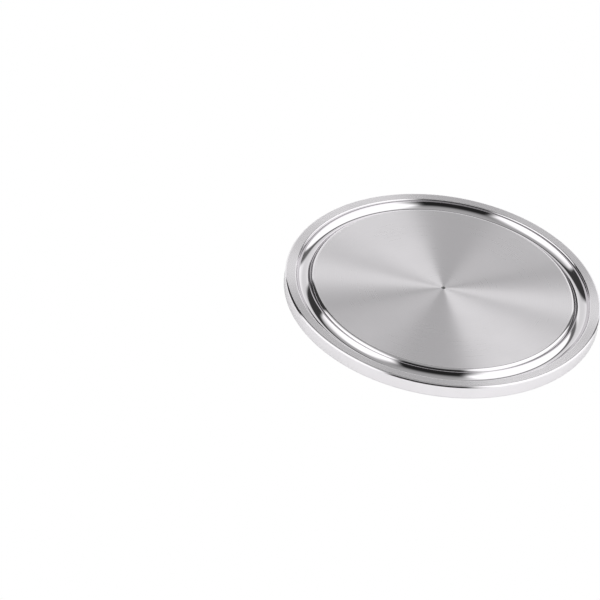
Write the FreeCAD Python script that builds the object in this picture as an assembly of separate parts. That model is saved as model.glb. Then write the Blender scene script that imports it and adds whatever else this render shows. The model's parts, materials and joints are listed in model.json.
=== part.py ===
"""Blind flange for a sanitary clamp union, with a 64 mm clamp rim.

The real flange is turned in one piece from a disc of stainless steel and holds no other pieces, so
the model is one solid, turned the same way: its half section swept round the axis.  That section
runs from the centre mark over the sealing face, the gasket groove, the outer land and the rim to
the bevelled back.

Millimetres.  The origin is the centre of the sealing face, and +Z points out of that face, towards
the ferrule that the flange closes.
"""

import FreeCAD, Part
import math
import os

NODE = "blind_flange"

# The blank
RIM_RADIUS = 64.0 / 2
RIM_THICKNESS = 2.85             # sealing face to the start of the bevel
BEVEL_ANGLE = 20.0               # degrees from the back face; the clamp's jaws wedge on this cone
OVERALL_THICKNESS = 6.35         # sealing face to back face

# The gasket groove in the sealing face
GROOVE_CIRCLE_RADIUS = 56.4 / 2  # the circle that the middle of the groove runs along
GROOVE_NOSE_RADIUS = 1.6         # round section of the groove, the nose of its turning tool
GROOVE_DEPTH = 1.5
INNER_LIP_ROUND = 0.7            # round between the sealing face and the groove
OUTER_LIP_ROUND = 0.3            # round between the groove and the outer land

# The small cone that the centre drill leaves in the sealing face
CENTRE_MARK_RADIUS = 0.32
CENTRE_MARK_SLOPE = 60.0         # degrees from the sealing face
CENTRE_MARK_ROUND = 0.2          # round of its mouth

# Rounds on the outside edges
RIM_FACE_ROUND = 0.45            # outer land to rim
RIM_BEVEL_ROUND = 0.3            # rim to bevel
BACK_ROUND = 0.5                 # bevel to back face

AXIS_POINT = FreeCAD.Vector(0, 0, 0)
AXIS = FreeCAD.Vector(0, 0, 1)
SAME_POINT = 1e-6


def point(radius, height):
    """A point of the half section."""
    return FreeCAD.Vector(radius, 0, height)


def towards(start, end):
    """The unit direction from one point to another."""
    return (end - start).normalize()


def rounded(before, corner, after, round_radius):
    """Arc that breaks the corner between two straight runs, tangent to both."""
    to_before, to_after = towards(corner, before), towards(corner, after)
    half_angle = to_before.getAngle(to_after) / 2
    reach = round_radius / math.tan(half_angle)
    to_centre = (to_before + to_after).normalize()
    middle = corner + to_centre * (round_radius / math.sin(half_angle) - round_radius)
    return Part.Arc(corner + to_before * reach, middle, corner + to_after * reach)


def groove_lip(hollow_centre, side, round_radius):
    """Where one lip of the groove leaves the flat face, its middle, and where it meets the hollow.

    The lip's circle touches the face from below and the hollow's circle from outside.  side is -1
    for the lip nearer the axis and 1 for the lip nearer the rim.
    """
    between_centres = GROOVE_NOSE_RADIUS + round_radius
    rise = hollow_centre.z + round_radius
    run = math.sqrt(between_centres ** 2 - rise ** 2)
    centre = point(GROOVE_CIRCLE_RADIUS + side * run, -round_radius)
    to_hollow = towards(centre, hollow_centre)
    on_face = centre + AXIS * round_radius
    on_hollow = centre + to_hollow * round_radius
    middle = centre + (AXIS + to_hollow).normalize() * round_radius
    return on_face, middle, on_hollow


def gasket_groove():
    """The groove's three arcs, from the sealing face to the outer land."""
    hollow_centre = point(GROOVE_CIRCLE_RADIUS, GROOVE_NOSE_RADIUS - GROOVE_DEPTH)
    face_end, inner_middle, inner_wall = groove_lip(hollow_centre, -1, INNER_LIP_ROUND)
    land_start, outer_middle, outer_wall = groove_lip(hollow_centre, 1, OUTER_LIP_ROUND)
    bottom = point(GROOVE_CIRCLE_RADIUS, -GROOVE_DEPTH)
    return [
        Part.Arc(face_end, inner_middle, inner_wall),
        Part.Arc(inner_wall, bottom, outer_wall),
        Part.Arc(outer_wall, outer_middle, land_start),
    ]


def half_section():
    """The arcs of the half section in order, from the tip of the centre mark to the back face."""
    mark_tip = point(0, -CENTRE_MARK_RADIUS * math.tan(math.radians(CENTRE_MARK_SLOPE)))
    mark_mouth = point(CENTRE_MARK_RADIUS, 0)
    rim_top = point(RIM_RADIUS, 0)
    rim_bottom = point(RIM_RADIUS, -RIM_THICKNESS)
    bevel_run = (OVERALL_THICKNESS - RIM_THICKNESS) / math.tan(math.radians(BEVEL_ANGLE))
    back_edge = point(RIM_RADIUS - bevel_run, -OVERALL_THICKNESS)
    back_centre = point(0, -OVERALL_THICKNESS)
    arcs = [
        rounded(mark_tip, mark_mouth, rim_top, CENTRE_MARK_ROUND),
        *gasket_groove(),
        rounded(mark_mouth, rim_top, rim_bottom, RIM_FACE_ROUND),
        rounded(rim_top, rim_bottom, back_edge, RIM_BEVEL_ROUND),
        rounded(rim_bottom, back_edge, back_centre, BACK_ROUND),
    ]
    return mark_tip, arcs, back_centre


def outline(start, arcs, end):
    """Closed wire from start through the arcs to end, with straight runs where they are apart."""
    edges, here = [], start
    for arc in arcs:
        if here.distanceToPoint(arc.StartPoint) > SAME_POINT:
            edges.append(Part.makeLine(here, arc.StartPoint))
        edges.append(arc.toShape())
        here = arc.EndPoint
    edges += [Part.makeLine(here, end), Part.makeLine(end, start)]
    return Part.Wire(edges)


def blind_flange():
    """The whole flange, turned round its axis."""
    return Part.Face(outline(*half_section())).revolve(AXIS_POINT, AXIS, 360)


def main():
    os.makedirs("parts", exist_ok=True)
    flange = blind_flange()
    flange.exportStep(f"parts/{NODE}.step")
    print(f"{NODE}: {len(flange.Solids)} solid, valid {flange.isValid()}, {flange.Volume / 1000:.2f} cm3")


main()
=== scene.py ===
"""Looks of the blind flange: its turned mesh, its stainless steel, and the studio that it lies in.

Metres, in the frame of the CAD model: the origin is the centre of the sealing face and +Z points out
of it.  The flange is one lathe-turned piece.  The mesh is swept from the same half section as the
CAD solid, with exact normals, so that the polished groove mirrors the studio cleanly.
"""

import json
import math

import bpy
from mathutils import Matrix, Vector


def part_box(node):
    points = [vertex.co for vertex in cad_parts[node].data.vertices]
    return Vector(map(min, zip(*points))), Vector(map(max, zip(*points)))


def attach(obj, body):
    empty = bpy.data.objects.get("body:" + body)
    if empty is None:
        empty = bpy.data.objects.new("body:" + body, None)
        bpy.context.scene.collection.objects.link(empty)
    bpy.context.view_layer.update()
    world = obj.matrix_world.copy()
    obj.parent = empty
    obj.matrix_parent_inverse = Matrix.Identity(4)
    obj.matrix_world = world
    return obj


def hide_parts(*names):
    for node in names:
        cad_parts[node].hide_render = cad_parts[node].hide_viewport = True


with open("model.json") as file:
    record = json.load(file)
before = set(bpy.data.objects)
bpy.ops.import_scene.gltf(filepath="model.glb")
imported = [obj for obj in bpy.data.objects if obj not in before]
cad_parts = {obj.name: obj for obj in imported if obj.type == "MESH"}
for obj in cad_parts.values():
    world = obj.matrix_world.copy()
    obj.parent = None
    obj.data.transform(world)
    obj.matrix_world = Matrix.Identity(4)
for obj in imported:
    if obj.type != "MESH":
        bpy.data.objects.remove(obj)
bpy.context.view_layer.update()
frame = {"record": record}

MM = 0.001
NODE = "blind_flange"

# --- the half section, as in the CAD model ------------------------------------------------------
BOX_LOW, BOX_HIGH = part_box(NODE)
MOUNTS = {mount["name"]: mount for mount in frame["record"]["mounts"]}
RIM_RADIUS = MOUNTS["clamp_rim"]["dims"]["r_mm"] * MM
OVERALL_THICKNESS = BOX_HIGH.z - BOX_LOW.z
RIM_THICKNESS = -MOUNTS["clamp_bevel"]["pos_m"][2]
BEVEL_ANGLE = 20.0

GROOVE_CIRCLE_RADIUS = 28.2 * MM
GROOVE_NOSE_RADIUS = 1.6 * MM
GROOVE_DEPTH = 1.5 * MM
INNER_LIP_ROUND = 0.7 * MM
OUTER_LIP_ROUND = 0.3 * MM

CENTRE_MARK_RADIUS = 0.32 * MM
CENTRE_MARK_SLOPE = 60.0
CENTRE_MARK_ROUND = 0.2 * MM

RIM_FACE_ROUND = 0.45 * MM
RIM_BEVEL_ROUND = 0.3 * MM
BACK_ROUND = 0.5 * MM

# --- fineness of the mesh -----------------------------------------------------------------------
TURNS = 360                # steps round the axis
ARC_STEP = 5.0             # largest turn between two rings of an arc, degrees
FLAT_STEP = 1.5 * MM       # largest distance between two rings of a flat
SAME_POINT = 1e-7          # rings nearer than this are one ring

# --- the steel ----------------------------------------------------------------------------------
STEEL_COLOUR = (0.785, 0.768, 0.788)
TURNED_COLOUR = (0.822, 0.804, 0.824)    # the turned zones, which scatter a little more light
MARK_SHADE_COLOUR = (0.2, 0.2, 0.2)            # the centre mark, painted nearly black as the shade inside its small recess
MARKS_SCALE = 7000.0       # turning marks, per metre of radius
CLOUD_SCALE = 90.0         # soft patches of the finish
MARKS_ROUGHNESS = 0.25     # how much the marks and the patches change the roughness, as a share of it
CLOUD_ROUGHNESS = 0.2
SCRATCH_ROUGHNESS = 0.05   # added on a scratch
SCRATCH_DEPTH = 0.25       # depth of a scratch, as a share of the marks' depth
QUARTER_TURN = 0.25        # turns the stretched highlight across the marks

# --- the scratches ------------------------------------------------------------------------------
SCRATCH_DIRECTIONS = ((25.0, 160.0), (115.0, 210.0))    # direction in degrees, scale of the noise
SCRATCH_STRETCH = 14.0     # how much finer the noise is across a scratch than along it
SCRATCH_WIDTH = 0.006      # how far from the noise's middle value a scratch reaches
PATCH_SCALE = 120.0        # size of the patches that have scratches

# --- the floor ----------------------------------------------------------------------------------
FLOOR_SIZE = 40 * RIM_RADIUS
FLOOR_GAP = 0.02 * MM      # keeps the floor and the back face from sharing a plane
FLOOR_ALBEDO = (0.9, 0.9, 0.9, 1.0)
WHITE = (1.0, 1.0, 1.0, 1.0)
FLOOR_GLOW = 0.37          # away from the flange; none under it, which paints a shadow beneath the flange
FOOTPRINT = 0.69 * RIM_RADIUS            # just inside the back face's edge


# --- the turned mesh ----------------------------------------------------------------------------
def leaning(lean):
    """Unit direction in the half section that leans that many degrees from +Z towards the rim."""
    return Vector((math.sin(math.radians(lean)), math.cos(math.radians(lean))))


def broken_corner(zone, corner, lean_before, lean_after, radius):
    """Round of a corner between two straight runs whose surfaces lean as given."""
    before, after = leaning(lean_before), leaning(lean_after)
    centre = Vector(corner) - (before + after) * (radius / (1 + before.dot(after)))
    return zone, centre, radius, lean_before, lean_after


def groove_arcs(zone):
    """Lip, hollow and lip of the gasket groove.  A negative radius marks the hollow side of an arc."""
    hollow = Vector((GROOVE_CIRCLE_RADIUS, GROOVE_NOSE_RADIUS - GROOVE_DEPTH))

    def lip(side, radius):
        rise = hollow.y + radius
        between = GROOVE_NOSE_RADIUS + radius
        run = math.sqrt(between ** 2 - rise ** 2)
        return Vector((hollow.x + side * run, -radius)), math.degrees(math.asin(run / between))

    inner_centre, inner_wall = lip(-1, INNER_LIP_ROUND)
    outer_centre, outer_wall = lip(1, OUTER_LIP_ROUND)
    return [
        (zone, inner_centre, INNER_LIP_ROUND, 0, inner_wall),
        (zone, hollow, -GROOVE_NOSE_RADIUS, inner_wall, -outer_wall),
        (zone, outer_centre, OUTER_LIP_ROUND, -outer_wall, 0),
    ]


def half_section():
    """The section's arcs from the centre mark to the back, and the zone of the run before each."""
    bevel_lean = 180 - BEVEL_ANGLE
    bevel_run = (OVERALL_THICKNESS - RIM_THICKNESS) / math.tan(math.radians(BEVEL_ANGLE))
    mark_mouth = (CENTRE_MARK_RADIUS, 0)
    rim_top = (RIM_RADIUS, 0)
    rim_bottom = (RIM_RADIUS, -RIM_THICKNESS)
    back_edge = (RIM_RADIUS - bevel_run, -OVERALL_THICKNESS)
    mark = broken_corner("centre_mark", mark_mouth, -CENTRE_MARK_SLOPE, 0, CENTRE_MARK_ROUND)
    groove = groove_arcs("gasket_groove")
    rim_face = broken_corner("rim", rim_top, 0, 90, RIM_FACE_ROUND)
    rim_back = broken_corner("rim", rim_bottom, 90, bevel_lean, RIM_BEVEL_ROUND)
    back = broken_corner("clamp_bevel", back_edge, bevel_lean, 180, BACK_ROUND)
    return [
        ("centre_mark", mark),
        ("sealing_face", groove[0]),
        ("gasket_groove", groove[1]),
        ("gasket_groove", groove[2]),
        ("outer_land", rim_face),
        ("rim", rim_back),
        ("clamp_bevel", back),
    ]


def section_rings():
    """Rings of the mesh as (radius, height, lean, zone of the band that ends at the ring)."""
    rings = [(0.0, -CENTRE_MARK_RADIUS * math.tan(math.radians(CENTRE_MARK_SLOPE)), 0.0, None)]

    def straight_to(point, lean, zone):
        start = Vector(rings[-1][:2])
        steps = math.ceil((point - start).length / FLAT_STEP)
        for step in range(1, steps + 1):
            radius, height = start.lerp(point, step / steps)
            rings.append((radius, height, lean, zone))

    for run_zone, (zone, centre, radius, first_lean, last_lean) in half_section():
        first = centre + leaning(first_lean) * radius
        if (first - Vector(rings[-1][:2])).length > SAME_POINT:
            straight_to(first, first_lean, run_zone)
        steps = math.ceil(abs(last_lean - first_lean) / ARC_STEP)
        for step in range(1, steps + 1):
            lean = first_lean + (last_lean - first_lean) * step / steps
            point = centre + leaning(lean) * radius
            rings.append((point.x, point.y, lean, zone))
    straight_to(Vector((0.0, -OVERALL_THICKNESS)), 180.0, "back_face")
    return rings


def turned_mesh(name, zones):
    """Sweeps the half section round the axis.  Each zone is a material slot, in the order of zones."""
    rings = section_rings()
    vertices, normals, faces, face_zones = [], [], [], []
    for radius, height, lean, _ in rings[1:-1]:
        outward, up = leaning(lean)
        for turn in range(TURNS):
            angle = math.tau * turn / TURNS
            cosine, sine = math.cos(angle), math.sin(angle)
            vertices.append((radius * cosine, radius * sine, height))
            normals.append((outward * cosine, outward * sine, up))
    tip, back = len(vertices), len(vertices) + 1
    vertices += [(0, 0, rings[0][1]), (0, 0, rings[-1][1])]
    normals += [(0, 0, 1), (0, 0, -1)]

    last = (len(rings) - 3) * TURNS
    for turn in range(TURNS):
        after = (turn + 1) % TURNS
        faces.append((tip, turn, after))
        face_zones.append(rings[1][3])
        for ring in range(len(rings) - 3):
            inner, outer = ring * TURNS, (ring + 1) * TURNS
            faces.append((inner + turn, outer + turn, outer + after, inner + after))
            face_zones.append(rings[ring + 2][3])
        faces.append((last + turn, back, last + after))
        face_zones.append(rings[-1][3])

    mesh = bpy.data.meshes.new(name)
    mesh.from_pydata(vertices, [], faces)
    mesh.polygons.foreach_set("material_index", [zones.index(zone) for zone in face_zones])
    mesh.shade_smooth()
    mesh.normals_split_custom_set_from_vertices(normals)
    mesh.update()
    return mesh


# --- node helper --------------------------------------------------------------------------------
class Graph:
    """Adds nodes to a tree and links them, so that a material reads as a formula."""

    def __init__(self, tree):
        self.tree = tree
        tree.nodes.clear()

    def add(self, kind, inputs=None, **settings):
        node = self.tree.nodes.new(kind)
        for name, value in settings.items():
            setattr(node, name, value)
        for name, value in (inputs or {}).items():
            self.feed(node.inputs[name], value)
        return node

    def feed(self, socket, value):
        if isinstance(value, bpy.types.NodeSocket):
            self.tree.links.new(value, socket)
        else:
            socket.default_value = value

    def math(self, operation, *values):
        node = self.add("ShaderNodeMath", operation=operation)
        for socket, value in zip(node.inputs, values):
            self.feed(socket, value)
        return node.outputs[0]

    def vector(self, operation, *values):
        node = self.add("ShaderNodeVectorMath", operation=operation)
        for socket, value in zip(node.inputs, values):
            self.feed(socket, value)
        single = operation in ("DOT_PRODUCT", "LENGTH", "DISTANCE")
        return node.outputs["Value" if single else "Vector"]

    def ramp(self, value, low, high, out_low=0.0, out_high=1.0):
        """Smooth step of value from out_low at low to out_high at high."""
        node = self.add("ShaderNodeMapRange", interpolation_type="SMOOTHSTEP")
        for socket, number in zip(node.inputs, (value, low, high, out_low, out_high)):
            self.feed(socket, number)
        return node.outputs["Result"]

    def mix(self, share, first, second):
        node = self.add("ShaderNodeMix", data_type="FLOAT")
        for socket, value in zip(node.inputs[0:1] + node.inputs[2:4], (share, first, second)):
            self.feed(socket, value)
        return node.outputs[0]

    def noise(self, vector, scale, detail):
        node = self.add("ShaderNodeTexNoise", noise_dimensions="3D")
        self.feed(node.inputs["Vector"], vector)
        node.inputs["Scale"].default_value = scale
        node.inputs["Detail"].default_value = detail
        return node.outputs["Fac"]


# --- materials ----------------------------------------------------------------------------------
def fine_scratches(graph, place):
    """Sparse hair-thin handling scratches in two directions, 1 on a scratch and 0 off them all."""
    total = 0.0
    for turn, scale in SCRATCH_DIRECTIONS:
        turned = graph.add("ShaderNodeMapping", {"Vector": place, "Rotation": (0, 0, math.radians(turn))})
        drawn_out = graph.vector("MULTIPLY", turned.outputs[0], (1.0, SCRATCH_STRETCH, 1.0))
        lines = graph.noise(drawn_out, scale, 1.0)
        near_middle = graph.math("ABSOLUTE", graph.math("SUBTRACT", lines, 0.5))
        thin = graph.ramp(near_middle, 0.0, SCRATCH_WIDTH, 1.0, 0.0)
        patch = graph.ramp(graph.noise(turned.outputs[0], PATCH_SCALE, 1.0), 0.60, 0.68)
        total = graph.math("ADD", total, graph.math("MULTIPLY", thin, patch))
    return total


def steel(name, colour, roughness, anisotropic, mark_depth):
    """Stainless steel with the lathe's concentric marks, mark_depth metres deep, and fine wear.

    anisotropic is 1 where the marks stretch the highlights right across them, and 0 on polished steel.
    """
    material = bpy.data.materials.new(name)
    material.use_nodes = True
    graph = Graph(material.node_tree)
    place = graph.add("ShaderNodeTexCoord").outputs["Object"]
    flat_place = graph.vector("MULTIPLY", place, (1, 1, 0))
    radius = graph.vector("LENGTH", flat_place)
    rings = graph.add("ShaderNodeCombineXYZ", {"X": radius}).outputs[0]
    marks = graph.noise(rings, MARKS_SCALE, 1.0)
    cloud = graph.noise(place, CLOUD_SCALE, 3.0)
    marks_off, cloud_off = (graph.math("SUBTRACT", noise, 0.5) for noise in (marks, cloud))
    rough = graph.math("MULTIPLY_ADD", marks_off, MARKS_ROUGHNESS * roughness, roughness)
    rough = graph.math("MULTIPLY_ADD", cloud_off, CLOUD_ROUGHNESS * roughness, rough)
    scratch = fine_scratches(graph, place)
    rough = graph.math("MULTIPLY_ADD", scratch, SCRATCH_ROUGHNESS, rough)
    stain = graph.ramp(cloud, 0.3, 0.7, 0.975, 1.01)
    shade = graph.math("ADD", stain, graph.ramp(marks, 0.3, 0.7, -0.02, 0.02))
    tint = graph.vector("MULTIPLY", colour, shade)
    relief = graph.math("MULTIPLY_ADD", scratch, -SCRATCH_DEPTH, marks)
    bump = graph.add("ShaderNodeBump", {"Strength": 1.0, "Distance": mark_depth, "Height": relief})
    shader = graph.add("ShaderNodeBsdfPrincipled", {
        "Base Color": tint,
        "Metallic": 1.0,
        "Roughness": rough,
        "Normal": bump.outputs[0],
        "Anisotropic": anisotropic,
        "Anisotropic Rotation": QUARTER_TURN,
        "Tangent": graph.add("ShaderNodeTangent", direction_type="RADIAL", axis="Z").outputs[0],
    })
    graph.add("ShaderNodeOutputMaterial", {"Surface": shader.outputs[0]})
    return material


# Each zone's colour, roughness, anisotropy and depth of marks.
ZONES = {
    # the centre mark's near-black colour is painted shade of its recess
    "centre_mark": steel("centre_mark", MARK_SHADE_COLOUR, 0.3, 0.0, 0.5e-6),
    "sealing_face": steel("turned_face", TURNED_COLOUR, 0.29, 1.0, 0.8e-6),
    "gasket_groove": steel("polished_groove", STEEL_COLOUR, 0.05, 0.0, 0.1e-6),
    "outer_land": steel("turned_land", TURNED_COLOUR, 0.27, 1.0, 0.5e-6),
    "rim": steel("polished_rim", STEEL_COLOUR, 0.06, 0.0, 0.1e-6),
    "clamp_bevel": steel("turned_bevel", STEEL_COLOUR, 0.22, 0.5, 1.5e-6),
    "back_face": steel("turned_back", STEEL_COLOUR, 0.3, 1.0, 1.8e-6),
}


# --- the studio ---------------------------------------------------------------------------------
def studio_world():
    """Two tall softboxes beside the camera, a dark slot between them, and a backdrop behind."""
    world = bpy.data.worlds.new("studio")
    bpy.context.scene.world = world
    world.use_nodes = True
    graph = Graph(world.node_tree)
    way = graph.add("ShaderNodeTexCoord").outputs["Generated"]
    aside, depth, height = graph.add("ShaderNodeSeparateXYZ", {"Vector": way}).outputs
    elevation = graph.math("DEGREES", graph.math("ARCSINE", height))
    bearing = graph.math("DEGREES", graph.math("ARCTAN2", aside, depth))

    def beyond(normal, softness):
        """Mask of the directions on that side of a plane through the flange."""
        side = graph.vector("DOT_PRODUCT", way, Vector(normal).normalized())
        angle = graph.math("DEGREES", graph.math("ARCSINE", side))
        return graph.ramp(angle, -softness, softness)

    def softbox(level, side, lean, spreads, top_softness, front, back, brightness):
        """Panel on one side of the flange (side is 1 for right, -1 for left).

        Its upper edge leans that far from overhead.  The first of spreads draws that edge outwards
        towards the camera, and the second draws it inwards towards the back.  front and back are
        each the bearing of an upright edge and its softness.  brightness is the panel's at the
        horizon and from 30 degrees up.
        """
        tops = [beyond((side, spread, -lean), top_softness) for spread in spreads]
        mask = graph.math("MULTIPLY", *tops)
        turned = graph.math("MULTIPLY", bearing, side)
        for (edge, softness), sign in ((front, -1), (back, 1)):
            off = graph.math("MULTIPLY", graph.math("SUBTRACT", turned, edge), sign)
            mask = graph.math("MULTIPLY", mask, graph.ramp(off, -softness, softness))
        lit = graph.ramp(elevation, 0.0, 30.0, *brightness)
        return graph.mix(mask, level, lit)

    def arch(level, middle, half_width, top, softness, brightness):
        """Arch behind the flange, round-cornered, standing on the horizon."""
        squareness = 2.5
        across = graph.math("ABSOLUTE", graph.math("SUBTRACT", bearing, middle))
        across = graph.math("POWER", graph.math("DIVIDE", across, half_width), squareness)
        up = graph.math("DIVIDE", graph.math("ABSOLUTE", elevation), top)
        up = graph.math("POWER", up, squareness)
        reach = graph.math("POWER", graph.math("ADD", across, up), 1 / squareness)
        edge = softness / half_width
        return graph.mix(graph.ramp(reach, 1 + edge, 1 - edge), level, brightness)

    # Ceiling: dark between the softboxes, and lighter overhead and towards the back.
    front = graph.ramp(elevation, 48.0, 88.0, 0.02, 0.40)
    level = graph.mix(graph.ramp(depth, -0.1, 0.3), front, 0.45)
    # Right and left softbox.
    level = softbox(level, 1, 0.24, (0.285, 0.18), 4.5, (144.0, 13.0), (15.0, 10.0), (1.2, 1.35))
    level = softbox(level, -1, 0.32, (0.12, 0.12), 13.0, (150.5, 6.0), (64.5, 25.0), (1.38, 1.34))
    # Dark arch round a bright backdrop, which leaves the dark rings beside it.
    gap = graph.ramp(bearing, -20.0, 30.0, 0.045, 0.16)
    level = arch(level, -13.3, 63.2, 50.5, 2.5, gap)
    backdrop = graph.ramp(elevation, 5.0, 40.0, 1.03, 0.82)
    backdrop = graph.math("MULTIPLY", backdrop, graph.ramp(bearing, 5.0, 30.0, 1.0, 1.2))
    level = arch(level, -3.5, 42.0, 40.5, 2.5, backdrop)

    # The camera itself sees plain white.
    seen = graph.add("ShaderNodeLightPath").outputs["Is Camera Ray"]
    level = graph.mix(seen, level, 1.0)
    background = graph.add("ShaderNodeBackground", {"Color": (1, 1, 1, 1), "Strength": level})
    graph.add("ShaderNodeOutputWorld", {"Surface": background.outputs[0]})


def pale_floor():
    """Plain white floor, wide enough to fill every view.

    It is clear from below and where the flange stands on it, so that the back can be looked at too. Its
    glow fades to none under the flange, which paints a shadow there.
    """
    material = bpy.data.materials.new("pale_floor")
    material.use_nodes = True
    graph = Graph(material.node_tree)
    seen = graph.add("ShaderNodeLightPath").outputs["Is Camera Ray"]
    lit = graph.add("ShaderNodeBsdfDiffuse", {"Color": FLOOR_ALBEDO})
    distance = graph.vector("LENGTH", graph.add("ShaderNodeTexCoord").outputs["Object"])
    # painted shadow: the floor's glow fades to nothing under the flange
    glow_with_painted_shadow = graph.ramp(distance, 0.9 * RIM_RADIUS, 1.15 * RIM_RADIUS, 0.0, FLOOR_GLOW)
    glow = graph.add("ShaderNodeEmission", {"Color": WHITE, "Strength": glow_with_painted_shadow})
    lit = graph.add("ShaderNodeAddShader", {0: lit.outputs[0], 1: glow.outputs[0]})
    white = graph.add("ShaderNodeEmission", {"Color": WHITE})
    floor_top = graph.add("ShaderNodeMixShader", {0: seen, 1: lit.outputs[0], 2: white.outputs[0]})
    from_below = graph.add("ShaderNodeNewGeometry").outputs["Backfacing"]
    in_footprint = graph.math("LESS_THAN", distance, FOOTPRINT)
    clear = graph.add("ShaderNodeBsdfTransparent")
    shader = graph.add("ShaderNodeMixShader", {
        0: graph.math("MAXIMUM", from_below, in_footprint),
        1: floor_top.outputs[0],
        2: clear.outputs[0],
    })
    graph.add("ShaderNodeOutputMaterial", {"Surface": shader.outputs[0]})
    mesh = bpy.data.meshes.new("floor")
    turns = ((-1, -1), (1, -1), (1, 1), (-1, 1))
    corners = [(across * FLOOR_SIZE, along * FLOOR_SIZE, 0) for across, along in turns]
    mesh.from_pydata(corners, [], [(0, 1, 2, 3)])
    mesh.materials.append(material)
    floor = bpy.data.objects.new("floor", mesh)
    floor.location.z = BOX_LOW.z - FLOOR_GAP
    bpy.context.scene.collection.objects.link(floor)


def camera():
    """Long lens, looking down on the flange, with the picture turned a little."""
    elevation, roll = math.radians(36.78), math.radians(9.08)
    distance = 1.043
    aim = Vector((-28.06 * MM, -11.64 * MM, 0))
    forward = Vector((0, math.cos(elevation), -math.sin(elevation)))
    right = Vector((1, 0, 0))
    up = right.cross(forward)
    camera_right = right * math.cos(roll) + up * math.sin(roll)
    camera_up = up * math.cos(roll) - right * math.sin(roll)
    data = bpy.data.cameras.new("camera")
    data.sensor_width = 36.0
    data.lens = 314.3
    data.clip_start, data.clip_end = 0.01, 100.0
    eye = bpy.data.objects.new("camera", data)
    turn = Matrix((camera_right, camera_up, -forward)).transposed()
    eye.matrix_world = Matrix.Translation(aim - forward * distance) @ turn.to_4x4()
    bpy.context.scene.collection.objects.link(eye)
    bpy.context.scene.camera = eye


# --- the piece ----------------------------------------------------------------------------------
def turned_flange():
    """The flange, with one material slot for each zone."""
    zones = list(ZONES)
    mesh = turned_mesh("blind_flange_turned", zones)
    for zone in zones:
        mesh.materials.append(ZONES[zone])
    piece = bpy.data.objects.new("blind_flange_turned", mesh)
    bpy.context.scene.collection.objects.link(piece)
    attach(piece, "root")
    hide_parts(NODE)


turned_flange()
studio_world()
pale_floor()
camera()
bpy.context.scene.view_settings.view_transform = "Standard"
